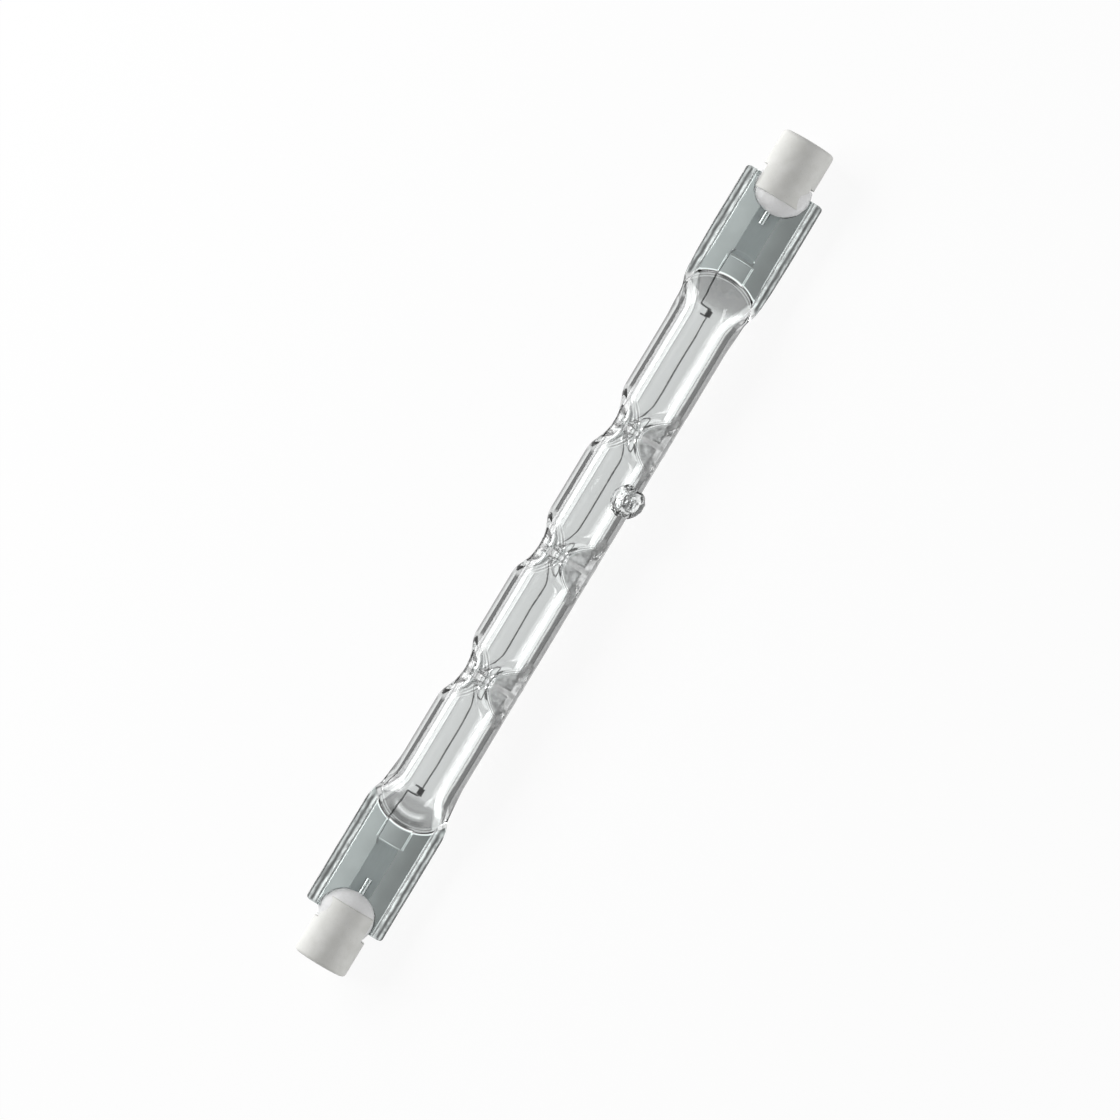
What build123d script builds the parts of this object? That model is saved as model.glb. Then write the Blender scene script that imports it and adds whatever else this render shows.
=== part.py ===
from build123d import *
from math import asin, atan2, cos, degrees, hypot, radians, sin, tan
import os

os.makedirs("parts", exist_ok=True)

# Double-ended tungsten halogen lamp, 118 mm size, lying at rest. Sizes are in millimetres.
# While it is modelled, the lamp's axis is X, end a is at -X and end b at +X.
# The press seals lie in the XY plane, and the inner leads run on their +Y side.
overall_length = 117.6

# Quartz tube
tube_outer_radius = 4.35
tube_wall = 1.1
straight_setback = 24.3

# Dimple stations: three dimples pressed in at 120 degrees hold the coil on the axis
station_centres = [-18.4, -0.7, 17.1]
dimples_per_station = 3
dimple_facets = 8
dimple_half_angle = 45.0
dimple_tip_radius = 0.4
dimple_tip_glass = 0.9
dimple_flank_glass = 0.65
dimple_coil_clearance = 0.03

# Press seals, with their shoulders
seal_width = 10.8
seal_web_thickness = 2.0
seal_end_in_cap = 1.9
seal_corner_radius = 0.5
shoulder_length_a = 4.8
shoulder_length_b = 5.1
shoulder_angle = 45.0
rib_width = 1.35
rib_thickness = 3.6
rib_start_setback = 1.0
rib_knee_length = 1.6
rib_flare_length = 3.4
rib_start_inset = 0.17
rib_knee_inset = 0.6
rib_edge_chamfer = 0.3
pad_width = 3.5
pad_height = 0.3
pad_length_a = 2.3
pad_length_b = 2.2
pad_corner_radius = 0.5

# End of the gas space inside the shoulders
cavity_end_setback = 0.5
cavity_end_half_height = 0.15

# Exhaust tip, where the filling tube was melted off
tip_station = 9.3
tip_angle = 135.0
tip_height = 2.5
tip_foot_radius = 2.1
tip_neck_radius = 1.4
tip_bulge_radius = 1.5
tip_crown_radius = 0.6
tip_bore_radius = 0.35

# Tungsten coil, drawn as the cylinder that its turns fill
coil_radius = 0.25
coil_sleeve_radius = 0.4
coil_sleeve_setback = 0.5
coil_sleeve_length = 0.75

# Molybdenum leads and foils
inner_lead_diameter = 0.28
inner_lead_root = 1.68
inner_lead_root_setback = 2.6
inner_lead_knee = 1.32
inner_lead_foil_overlap = 1.4
inner_lead_foil_offset = 1.15
inner_lead_stub = 0.95
foil_width = 2.9
foil_thickness = 0.05
foil_pad_gap_a = 0.3
foil_pad_gap_b = 0.5
foil_cap_gap = 0.1
outer_lead_diameter = 0.75
outer_lead_foil_overlap_a = 3.9
outer_lead_foil_overlap_b = 3.5

# Ceramic caps, each cemented on a little off the tube's axis: cap b to +Y and cap a to -Y
cap_diameter = 7.1
cap_length = 8.1
cap_rim_chamfer = 0.35
cap_offset = 0.2
cap_slot_width = 3.5
cap_slot_depth = 3.2
cap_bore_diameter = 1.9
recess_diameter = 4.4
recess_depth = 1.7

# Cement that fixes each cap to its press seal
cement_reach = 2.2
cement_shoulder_reach = 1.4
cement_tip_half_width = 1.6
cement_shoulder_half_width = 3.1
cement_half_height = 3.2
cement_rib_clearance = 0.03
cement_skirt_length = 2.3
cement_slot_half_length = 2.9

# End contacts
contact_diameter = 4.0
contact_thickness = 0.8
contact_pocket_clearance = 0.04
contact_edge_chamfer = 0.15
shank_setback = 0.2
shank_bore_clearance = 0.02
shank_clearance = 0.03

# Values worked out from the sizes above
straight_half_length = overall_length / 2 - straight_setback
coil_sleeve_start = straight_half_length - coil_sleeve_setback
tube_inner_radius = tube_outer_radius - tube_wall
coil_hole_radius = coil_radius + dimple_coil_clearance
dimple_slope = tan(radians(dimple_half_angle))
seal_half_width = seal_width / 2
web_half = seal_web_thickness / 2
rib_half = rib_thickness / 2
rib_inner = seal_half_width - rib_width
inner_lead_radius = inner_lead_diameter / 2
outer_lead_radius = outer_lead_diameter / 2
outer_lead_offset = outer_lead_radius - inner_lead_radius
foil_level = -inner_lead_radius - foil_thickness / 2
cap_radius = cap_diameter / 2
cap_outer_face = overall_length / 2
cap_inner_face = cap_outer_face - cap_length
seal_end = cap_inner_face + seal_end_in_cap
foil_outer_end = cap_inner_face - foil_cap_gap
slot_bottom = cap_inner_face + cap_slot_depth
contact_face = cap_outer_face - recess_depth
contact_seat = contact_face - contact_thickness
shank_radius = cap_bore_diameter / 2 - shank_clearance
shank_bore_radius = outer_lead_offset + outer_lead_radius + shank_bore_clearance
shank_end = slot_bottom + shank_setback


def rod(start, end, radius):
    """A cylinder on the lamp's axis between two stations."""
    return Pos((start + end) / 2, 0, 0) * Rot(Y=90) * Cylinder(radius, end - start)


def block(start, end, width, height):
    """A box centred on the lamp's axis between two stations."""
    return Pos((start + end) / 2, 0, 0) * Box(end - start, width, height)


def at_end(side, shape):
    """A shape that was built for end b, mirrored for end a."""
    return shape if side > 0 else mirror(shape, Plane.YZ)


def with_cap(side, shape):
    """A shape at one end that sits off the tube's axis with its cap."""
    return Pos(0, side * cap_offset, 0) * at_end(side, shape)


def shoulder(end, round_radius, end_half_height):
    """The stretch where round tube turns flat: cones about Z press it down, and it ends in an arch."""
    reach = end - straight_half_length
    fall = round_radius - end_half_height
    top_reach = reach - fall / tan(radians(shoulder_angle))
    press = Cylinder(reach, 2 * end_half_height)
    for side in (-1, 1):
        cone = Cone(reach, top_reach, fall) if side > 0 else Cone(top_reach, reach, fall)
        press += Pos(0, 0, side * (end_half_height + fall / 2)) * cone
    return rod(straight_half_length - top_reach / 2, end, round_radius) & Pos(straight_half_length, 0, 0) * press


def press_seal(shoulder_end, pad_length):
    """The flat seal at +X: a web between two ribs, with a raised pad on each face."""
    web_start = shoulder_end - seal_web_thickness
    rib_start = straight_half_length - rib_start_setback
    rib_full = straight_half_length + rib_flare_length
    start_half_width = tube_outer_radius - rib_start_inset
    seal = block(web_start, seal_end, 2 * rib_inner + rib_width, seal_web_thickness)
    for side in (-1, 1):
        plan = Polyline(
            (rib_start, side * (start_half_width - rib_width)),
            (rib_start, side * start_half_width),
            (straight_half_length + rib_knee_length, side * (seal_half_width - rib_knee_inset)),
            (rib_full, side * seal_half_width),
            (seal_end, side * seal_half_width),
            (seal_end, side * rib_inner),
            (rib_full, side * rib_inner),
            close=True,
        )
        rib = extrude(make_face(plan), rib_half, both=True)
        end_corner = rib.edges().filter_by(Axis.Z).filter_by(lambda e: abs(e.center().Y) > rib_inner + 0.01)
        rib = fillet(end_corner.sort_by(Axis.X)[-1], seal_corner_radius)
        lengthwise = rib.edges().filter_by(Axis.X)
        seal += chamfer(lengthwise, rib_edge_chamfer)
    pad = block(web_start, shoulder_end + pad_length, pad_width, seal_web_thickness + 2 * pad_height)
    return seal + fillet(pad.edges().filter_by(Axis.Z).sort_by(Axis.X)[-2:], pad_corner_radius)


def dimple(centre, turn, tip_distance, tip_radius, past):
    """The blunt faceted cone that one dimple takes out of the tube, pointing at the axis."""
    past_radius = tip_radius + dimple_slope * (past - tip_distance)
    angles = [radians(360 * i / dimple_facets) for i in range(dimple_facets)]
    tip_ring = [(tip_radius * cos(a), tip_radius * sin(a), tip_distance) for a in angles]
    past_ring = [(past_radius * cos(a), past_radius * sin(a), past) for a in angles]
    outlines = [tip_ring, past_ring]
    for i in range(dimple_facets):
        outlines.append([tip_ring[i - 1], tip_ring[i], past_ring[i], past_ring[i - 1]])
    cone = Solid(Shell([Face(Wire.make_polygon(outline)) for outline in outlines]))
    return Pos(centre, 0, 0) * Rot(X=turn - 90) * cone


def dimpled_tube(round_radius, tip_distance, tip_radius):
    """The straight tube between the shoulders, solid right through, with its dimples pressed in."""
    tube = rod(-straight_half_length, straight_half_length, round_radius)
    for centre in station_centres:
        for turn in range(0, 360, 360 // dimples_per_station):
            tube -= dimple(centre, turn, tip_distance, tip_radius, round_radius + tube_wall)
    return tube


def place_on_tip_axis(shape):
    """Turns a shape built along +Z to stand out of the tube at the exhaust tip."""
    return Pos(tip_station, 0, 0) * Rot(X=tip_angle - 90) * shape


def exhaust_tip():
    """The lump left where the filling tube was melted off, with a foot that flows into the tube."""
    foot = tube_outer_radius - 0.4 * tube_wall
    profile = Polyline(
        (0, foot),
        (tip_foot_radius, foot),
        (tip_neck_radius, tube_outer_radius + 0.25 * tip_height),
        (tip_bulge_radius, tube_outer_radius + 0.6 * tip_height),
        (tip_crown_radius, tube_outer_radius + 0.92 * tip_height),
        (0, tube_outer_radius + tip_height),
        close=True,
    )
    return place_on_tip_axis(revolve(Plane.XZ * make_face(profile), Axis.Z))


def exhaust_bore():
    """What is left of the filling tube's bore, open to the gas space."""
    start = tube_inner_radius - 0.6 * tube_wall
    length = tube_outer_radius + 0.45 * tip_height - start
    return place_on_tip_axis(Pos(0, 0, start + length / 2) * Cylinder(tip_bore_radius, length))


def quartz_envelope(buried):
    """Tube, dimples, seals and exhaust tip: one piece of glass, less the gas space and what is sealed in."""
    body = dimpled_tube(tube_outer_radius, coil_hole_radius + dimple_tip_glass, dimple_tip_radius)
    tip_setback = dimple_slope * dimple_tip_glass
    flank = dimple_flank_glass * hypot(1, dimple_slope)
    hollow = dimpled_tube(tube_inner_radius, coil_hole_radius, dimple_tip_radius + flank - tip_setback)
    body += exhaust_tip()
    for side, shoulder_length, pad_length in (
        (-1, shoulder_length_a, pad_length_a),
        (1, shoulder_length_b, pad_length_b),
    ):
        shoulder_end = straight_half_length + shoulder_length
        cavity_end = shoulder_end - cavity_end_setback
        body += at_end(side, shoulder(shoulder_end, tube_outer_radius, web_half))
        body += at_end(side, press_seal(shoulder_end, pad_length))
        hollow += at_end(side, shoulder(cavity_end, tube_inner_radius, cavity_end_half_height))
    glass = body - hollow - exhaust_bore()
    for piece in buried:
        glass -= piece
    return glass


def inner_lead(foil_inner_end):
    """Wire from the foil, through the seal and round a hook whose middle run holds the coil's end."""
    run_start = coil_sleeve_start + coil_sleeve_length + inner_lead_radius
    run_end = coil_sleeve_start - inner_lead_radius
    route = Polyline(
        (foil_inner_end + inner_lead_foil_overlap, inner_lead_foil_offset, 0),
        (foil_inner_end - inner_lead_root_setback, inner_lead_root, 0),
        (run_start, inner_lead_knee, 0),
        (run_start, 0, 0),
        (run_end, 0, 0),
        (run_end, inner_lead_stub, 0),
    )
    section = Plane(route @ 0, z_dir=route % 0) * Circle(inner_lead_radius)
    return sweep(section, path=route, transition=Transition.RIGHT)


def foil(foil_inner_end):
    """The thin strip that carries the current through the glass, under both leads."""
    return Pos(0, 0, foil_level) * block(foil_inner_end, foil_outer_end, foil_width, foil_thickness)


def outer_lead(inner_end):
    """The pin from the foil out to the bottom of the contact's shank."""
    return Pos(0, 0, outer_lead_offset) * rod(inner_end, contact_seat, outer_lead_radius)


def filament(leads):
    """The coil as one slender round solid, with a thicker wound sleeve on each lead's hook."""
    sleeve_end = coil_sleeve_start + coil_sleeve_length
    coil = rod(-coil_sleeve_start, coil_sleeve_start, coil_radius)
    for side in (-1, 1):
        coil += at_end(side, rod(coil_sleeve_start, sleeve_end, coil_sleeve_radius))
    for lead in leads:
        coil -= lead
    return coil


def ceramic_cap():
    """Barrel with a slot for the seal at its inner end, and a recess for the contact at its outer end."""
    barrel = rod(cap_inner_face, cap_outer_face, cap_radius)
    barrel = chamfer(barrel.edges().sort_by(Axis.X)[-1], cap_rim_chamfer)
    recess = rod(contact_face, cap_outer_face, recess_diameter / 2)
    pocket = rod(contact_seat, contact_face, contact_diameter / 2 + contact_pocket_clearance)
    bore = rod(cap_inner_face, contact_seat, cap_bore_diameter / 2)
    slot = block(cap_inner_face, slot_bottom, cap_diameter, cap_slot_width)
    return barrel - recess - pocket - bore - slot


def end_contact():
    """Round contact face on a tubular shank, which the outer lead is welded into."""
    disc = rod(contact_seat, contact_face, contact_diameter / 2)
    disc = chamfer(disc.edges().sort_by(Axis.X)[-1], contact_edge_chamfer)
    shank = rod(shank_end, contact_seat, shank_radius) - rod(shank_end, contact_seat, shank_bore_radius)
    return disc + shank


def cement_mound():
    """Cement round the seal's end: it fills the slot and swells out between the seal's ribs."""
    half_width = rib_inner - cement_rib_clearance
    plan = Polyline(
        (cap_inner_face - cement_reach, -cement_tip_half_width),
        (cap_inner_face - cement_shoulder_reach, -cement_shoulder_half_width),
        (cap_inner_face, -half_width),
        (cap_inner_face + cement_skirt_length, -cap_radius + cap_offset + cement_rib_clearance),
        (cap_inner_face + cement_skirt_length, 0),
        (cap_inner_face - cement_reach, 0),
        close=True,
    )
    turned = revolve(make_face(plan), Axis.X)
    flat = block(cap_inner_face - cement_reach, slot_bottom, seal_width, 2 * cement_half_height)
    fill = block(cap_inner_face, slot_bottom, 2 * cement_slot_half_length, cap_slot_width)
    return (turned & flat) + fill


def rest_roll():
    """How far the lamp rolls about its axis until the lower ribs touch the floor beside the tube."""
    corners = (
        (seal_half_width, rib_half - rib_edge_chamfer),
        (seal_half_width - rib_edge_chamfer, rib_half),
    )
    return min(degrees(asin(tube_outer_radius / hypot(*c)) - atan2(c[1], c[0])) for c in corners)


lamp = {}
for end, side, foil_start, foil_overlap in (
    ("a", -1, shoulder_length_a + pad_length_a + foil_pad_gap_a, outer_lead_foil_overlap_a),
    ("b", 1, shoulder_length_b + pad_length_b + foil_pad_gap_b, outer_lead_foil_overlap_b),
):
    foil_end = straight_half_length + foil_start
    lamp["inner_lead_" + end] = at_end(side, inner_lead(foil_end))
    lamp["seal_foil_" + end] = at_end(side, foil(foil_end))
    lamp["outer_lead_" + end] = with_cap(side, outer_lead(foil_outer_end - foil_overlap))
lamp["quartz_envelope"] = quartz_envelope(list(lamp.values()))
lamp["filament"] = filament([lamp["inner_lead_a"], lamp["inner_lead_b"]])
for end, side in (("a", -1), ("b", 1)):
    lamp["ceramic_cap_" + end] = with_cap(side, ceramic_cap())
    lamp["end_contact_" + end] = with_cap(side, end_contact())
    cement = at_end(side, cement_mound())
    for neighbour in ("ceramic_cap_" + end, "outer_lead_" + end, "seal_foil_" + end, "quartz_envelope"):
        cement -= lamp[neighbour]
    lamp["cap_cement_" + end] = cement

rolled = {name: Rot(X=rest_roll()) * shape for name, shape in lamp.items()}
whole = Compound(list(rolled.values())).bounding_box()
to_floor = Pos(-whole.center().X, -whole.center().Y, -whole.min.Z)
for name, shape in rolled.items():
    placed = to_floor * shape
    export_step(placed, "parts/" + name + ".step")
    print(name, len(placed.solids()), "solid,", round(placed.volume, 2), "mm3")
print("roll", round(rest_roll(), 2), "axis at", [round(v, 3) for v in to_floor.position])
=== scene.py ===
from math import acos, cos, pi, radians, sin, sqrt
import bpy
import numpy as np
from mathutils import Matrix, Vector, noise


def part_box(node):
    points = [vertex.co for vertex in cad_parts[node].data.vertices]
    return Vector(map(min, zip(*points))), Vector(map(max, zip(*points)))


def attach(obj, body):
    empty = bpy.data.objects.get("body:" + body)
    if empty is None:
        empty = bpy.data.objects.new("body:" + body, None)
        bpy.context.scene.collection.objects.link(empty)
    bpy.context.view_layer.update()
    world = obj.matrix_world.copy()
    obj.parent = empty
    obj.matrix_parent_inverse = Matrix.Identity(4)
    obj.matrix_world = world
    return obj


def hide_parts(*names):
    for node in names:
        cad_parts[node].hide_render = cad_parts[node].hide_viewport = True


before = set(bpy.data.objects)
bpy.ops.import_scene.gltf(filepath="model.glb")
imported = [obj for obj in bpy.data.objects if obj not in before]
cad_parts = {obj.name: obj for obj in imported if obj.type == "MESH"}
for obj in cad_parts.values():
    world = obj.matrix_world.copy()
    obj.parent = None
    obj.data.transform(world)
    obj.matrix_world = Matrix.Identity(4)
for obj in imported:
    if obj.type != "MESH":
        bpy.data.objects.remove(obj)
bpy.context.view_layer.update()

# Quartz envelope
# One piece of clear fused quartz: a round tube whose ends were pressed flat over the foils, three
# stations of dimples that carry the coil, and the lump where the filling tube was melted off.
TUBE_R = 4.35
BORE_R = 3.25
STATIONS = (-18.4, -0.7, 17.1)
STRAIGHT_END = 34.5
SEAL_END = 52.6
SEAL_HALF = 5.4
SEAL_CORNER = 0.5
WEB_HALF = 1.0
RIB_WIDTH = 1.35
RIB_HALF = 1.8
PAD_HALF = 1.77
PAD_RISE = 0.3
# The two ends differ a little: reach of the shoulder, end of the pad, start of the foil and of the
# pin, and how far the ribs have flared out at each place along the lamp
ENDS = {
    -1: dict(name="a", reach=4.8, pad=41.6, foil=41.9, pin=46.7, flare=(
        (31.5, 0), (33.5, 0.16), (35, 0.3), (35.95, 0.43), (36.4, 0.7), (36.9, 0.82), (37.9, 1), (60, 1))),
    1: dict(name="b", reach=5.1, pad=41.8, foil=42.3, pin=47.1, flare=(
        (31.5, 0), (33.5, 0.12), (35.4, 0.18), (35.9, 0.33), (36.4, 0.5), (36.9, 0.68), (38.4, 0.82),
        (40.3, 0.93), (44, 1), (60, 1))),
}
ENDS_START = 31.0
CAVITY_START = 33.0
CAVITY_SETBACK = 0.5
CAVITY_WIDENING = 0.75
SHOULDER_SLOPE = 1.05
SHOULDER_BLEND = 1.1
ARCH_FLATNESS = 0.87
DIMPLE_SPAN = 4.4
DIMPLE_SLOPE, SLOPE_COSINE = 1.19, 0.64
EXHAUST_STATION = 9.3
# Unevenness of the glass, as shares of its radius and, on the ribs, in millimetres
OUTER_WAVE = 0.004
INNER_WAVE = 0.005
TOOL_MARK = 0.014
RIB_WAVE_Y = 0.07
RIB_WAVE_Z = 0.06
# Each cap was cemented on this far off the axis, b to +Y and a to -Y
CAP_OFFSET = 0.2
# Pieces are modelled in millimetres along X, then turned by the roll and moved to the lamp's axis
coil_low, coil_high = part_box("filament")
AXIS = (0.0, (coil_low[1] + coil_high[1]) / 2, (coil_low[2] + coil_high[2]) / 2)
ROLL = radians(34.1)


def deselect():
    if bpy.context.mode != "OBJECT":
        bpy.ops.object.mode_set(mode="OBJECT")
    bpy.ops.object.select_all(action="DESELECT")


def only(obj):
    deselect()
    obj.select_set(True)
    bpy.context.view_layer.objects.active = obj


def apply_modifiers(obj):
    only(obj)
    for modifier in list(obj.modifiers):
        bpy.ops.object.modifier_apply(modifier=modifier.name)


def boolean(obj, other, operation):
    modifier = obj.modifiers.new("boolean", "BOOLEAN")
    modifier.operation = operation
    modifier.solver = "EXACT"
    modifier.object = other
    apply_modifiers(obj)
    bpy.data.objects.remove(other)


def lay_to_rest(obj, name, replaced, smooth=None):
    obj.name = name
    obj.data.name = name
    obj.data.transform(Matrix.Translation(AXIS) @ Matrix.Rotation(ROLL, 4, "X") @ Matrix.Scale(0.001, 4))
    only(obj)
    if smooth is None:
        bpy.ops.object.shade_smooth()
    else:
        bpy.ops.object.shade_smooth_by_angle(angle=radians(smooth))
    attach(obj, "root")
    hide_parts(*replaced)


def soft_max(a, b, blend):
    h = np.clip(0.5 + 0.5 * (a - b) / blend, 0, 1)
    return b + (a - b) * h + blend * h * (1 - h)


def soft_min(a, b, blend):
    return -soft_max(-a, -b, blend)


def ramp(value, low, high):
    t = np.clip((value - low) / (high - low), 0, 1)
    return t * t * (3 - 2 * t)


def ripple(points, scale, seed):
    """Smooth noise, about -1 to 1, at each row of an array of points."""
    shape = points.shape[:-1]
    flat = points.reshape(-1, 3) * scale + seed
    return np.array([noise.noise(Vector(p)) for p in flat]).reshape(shape)


def dimpled_radius(x, angle, radius, apex, tip, blend):
    """Where a ray from the axis leaves the tube, dimples included: each is a cone with a rounded tip."""
    low = np.zeros(np.broadcast(x, angle).shape)
    high = low + radius * 1.02
    for _ in range(26):
        r = (low + high) / 2
        field = radius - r
        for centre in STATIONS:
            for turn in (0, 2 * pi / 3, 4 * pi / 3):
                height = r * np.cos(angle - turn)
                aside = np.sqrt((x - centre) ** 2 + (r * np.sin(angle - turn)) ** 2 + tip ** 2)
                bowl = apex + DIMPLE_SLOPE * (aside - tip) - height
                bowl = np.where(height > 0, bowl, 9.0)
                field = soft_min(field, SLOPE_COSINE * bowl, blend)
        low = np.where(field > 0, r, low)
        high = np.where(field > 0, high, r)
    return (low + high) / 2


def grid_tube(name, rings):
    """A closed skin through rings of points, from a primitive grid whose last row is welded to its first."""
    count, around, _ = rings.shape
    deselect()
    bpy.ops.mesh.primitive_grid_add(x_subdivisions=around, y_subdivisions=count - 1, size=2)
    obj = bpy.context.object
    obj.name = name
    points = np.concatenate([rings, rings[:, :1]], axis=1).reshape(-1, 3)
    obj.data.vertices.foreach_set("co", points.ravel())
    obj.data.update()
    bpy.ops.object.mode_set(mode="EDIT")
    bpy.ops.mesh.select_all(action="SELECT")
    bpy.ops.mesh.remove_doubles(threshold=0.0005)
    bpy.ops.mesh.select_all(action="DESELECT")
    bpy.ops.mesh.select_non_manifold()
    bpy.ops.mesh.edge_face_add()
    bpy.ops.mesh.select_all(action="SELECT")
    bpy.ops.mesh.normals_make_consistent(inside=False)
    bpy.ops.object.mode_set(mode="OBJECT")
    return obj


def ring_places(*runs):
    """Ring positions along X: (start, end, spacing) for each run."""
    parts = []
    for start, end, spacing in runs:
        steps = max(1, round((end - start) / spacing))
        parts.append(np.linspace(start, end, steps, endpoint=False))
    return np.concatenate(parts + [[runs[-1][1]]])


def tube_places(limit, plain, fine):
    """Ring positions along the round tube, closer together over each station of dimples."""
    runs = []
    start = -limit
    for centre in STATIONS:
        runs.append((start, centre - DIMPLE_SPAN, plain))
        runs.append((centre - DIMPLE_SPAN, centre + DIMPLE_SPAN, fine))
        start = centre + DIMPLE_SPAN
    return ring_places(*runs, (start, limit, plain))


def arc(centre, radius, start, end, steps):
    angles = np.radians(np.linspace(start, end, steps, endpoint=False))
    return [(centre[0] + radius * cos(a), centre[1] + radius * sin(a)) for a in angles]


# Quarter of the seal's cross-section, from the rib's outer side to the middle of the web
RIB_ROUND = 0.2
PAD_EDGE = 0.06
rib_inner = SEAL_HALF - RIB_WIDTH
rib_crest = RIB_HALF - RIB_ROUND
web_start = rib_inner - RIB_ROUND
quarter = [(SEAL_HALF, z) for z in np.linspace(0, rib_crest, 3, endpoint=False)]
quarter += arc((SEAL_HALF - RIB_ROUND, rib_crest), RIB_ROUND, 0, 90, 3)
crest_places = np.linspace(SEAL_HALF - RIB_ROUND, rib_inner + RIB_ROUND, 3, endpoint=False)
quarter += [(y, RIB_HALF) for y in crest_places]
quarter += arc((rib_inner + RIB_ROUND, rib_crest), RIB_ROUND, 90, 180, 3)
quarter += [(rib_inner, rib_crest)]
quarter += arc((web_start, WEB_HALF + RIB_ROUND), RIB_ROUND, 0, -90, 3)
RIB_POINTS = len(quarter)
quarter += [(y, WEB_HALF) for y in np.linspace(web_start, PAD_HALF + PAD_EDGE, 8, endpoint=False)]
quarter += [(y, WEB_HALF) for y in (PAD_HALF + PAD_EDGE, PAD_HALF, PAD_HALF - PAD_EDGE)]
quarter += [(y, WEB_HALF) for y in np.linspace(PAD_HALF - PAD_EDGE, 0, 7, endpoint=False)[1:]]
quarter = np.array(quarter)
rib_turns = np.linspace(0, acos(web_start / TUBE_R), RIB_POINTS, endpoint=False)
web_turns = np.arccos(quarter[RIB_POINTS:, 0] / TUBE_R)
turns = np.concatenate([rib_turns, web_turns])
seal_y = np.concatenate([quarter[:, 0], [0], -quarter[:0:-1, 0]])
seal_z = np.concatenate([quarter[:, 1], [WEB_HALF], quarter[:0:-1, 1]])
half_turns = np.concatenate([turns, [pi / 2], pi - turns[:0:-1]])
seal_y = np.concatenate([seal_y, [-SEAL_HALF], -seal_y[1:]])
seal_z = np.concatenate([seal_z, [0], -seal_z[1:]])
around_angle = np.concatenate([half_turns, [pi], half_turns[1:] + pi])


def shoulder_height(x, y, half_width, reach):
    """Height of the round tube over the seal's plane, where it widens and sinks towards its arch."""
    round_z = TUBE_R * np.sqrt(np.maximum(1 - (y / half_width) ** 2, 0))
    spread = np.sqrt(np.maximum(x - STRAIGHT_END, 0) ** 2 + (ARCH_FLATNESS * y) ** 2)
    cone_z = WEB_HALF + (reach - spread) * SHOULDER_SLOPE
    cone_z = np.where(x > STRAIGHT_END - 3, cone_z + np.maximum(STRAIGHT_END - x, 0), 99)
    eased_z = soft_min(round_z, cone_z, SHOULDER_BLEND)
    return np.where(cone_z > round_z + SHOULDER_BLEND, round_z, eased_z)


def outer_skin():
    outward = {}
    for side, end in ENDS.items():
        pad = end["pad"]
        outward[side] = ring_places(
            (ENDS_START, 34, 0.4), (34, 40.6, 0.16), (40.6, pad - 0.1, 0.3),
            (pad - 0.1, pad + 0.1, 0.05), (pad + 0.1, 51.9, 0.36), (51.9, SEAL_END, 0.1))
    tube = tube_places(ENDS_START, plain=0.9, fine=0.17)
    x = np.concatenate([-outward[-1][:0:-1], tube, outward[1][1:]])[:, None]
    angle = around_angle[None, :]
    r = dimpled_radius(x, angle, TUBE_R, apex=1.18, tip=0.9, blend=0.75)
    y = r * np.cos(angle)
    z = r * np.sin(angle)
    top = np.sign(seal_z)[None, :]
    for side, end in ENDS.items():
        s = side * x
        places, shares = zip(*end["flare"])
        flare = sum(np.interp(s + shift, places, shares) for shift in (0, -0.35, 0.35)) / 3
        tuck = SEAL_CORNER * (1 - np.sqrt(1 - np.clip((s - SEAL_END) / SEAL_CORNER + 1, 0, 1) ** 2))
        tucked_y = np.sign(seal_y) * (np.abs(seal_y) - tuck)
        to_y = np.where(np.abs(seal_y)[None, :] > web_start, tucked_y, seal_y)
        is_rib = (np.abs(seal_y) > web_start + 1e-6)[None, :]
        new_y = np.where(is_rib, y + (to_y - y) * flare, seal_y[None, :] + 0 * x)
        half_width = TUBE_R + (SEAL_HALF - TUBE_R) * flare
        bulb = shoulder_height(s, new_y, half_width, end["reach"])
        pad_here = ramp(s, end["pad"] + 0.07, end["pad"] - 0.07)
        web = WEB_HALF + PAD_RISE * pad_here * ramp(np.abs(new_y), PAD_HALF + 0.05, PAD_HALF - 0.05)
        web_z = soft_max(bulb, web, 0.22)
        fin = np.abs(seal_z)[None, :] * np.sqrt(np.clip(flare, 0, 1))
        rib_z = np.where(bulb > fin + 0.3, bulb, soft_max(bulb, fin, 0.3))
        rib_z = np.where(np.abs(seal_z)[None, :] < 1e-6, 0, rib_z)
        new_z = top * np.where(is_rib, rib_z, web_z)
        here = s > ENDS_START + 0.01
        y = np.where(here, new_y, y)
        z = np.where(here, new_z, z)
    rings = np.stack([x + 0 * y, y, z], axis=-1)
    rings[..., 1:] *= (1 + OUTER_WAVE * ripple(rings, 0.22, 3.1))[..., None]
    on_rib = ramp(np.abs(rings[..., 1]), 4.0, 4.3) * ramp(np.abs(rings[..., 0]), 36.5, 38.5)
    rough = ripple(rings, (0.9, 1.6, 1.6), 7.7) + 0.6 * ripple(rings, (2.3, 3.0, 3.0), 1.3)
    inner_flank = np.abs(rings[..., 1]) < SEAL_HALF - RIB_ROUND
    rings[..., 1] += RIB_WAVE_Y * on_rib * rough * np.sign(rings[..., 1]) * inner_flank
    rings[..., 2] += RIB_WAVE_Z * on_rib * rough * np.sign(rings[..., 2])
    # The tool that pushed the dimples in left its marks there
    for centre in STATIONS:
        away = np.abs(rings[..., 0] - centre)
        mark = np.exp(-(away / 1.7) ** 4) * (away < 4)
        rings[..., 1:] *= (1 + TOOL_MARK * mark * ripple(rings, 1.7, 11.0))[..., None]
    return grid_tube("quartz outer skin", rings)


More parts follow.
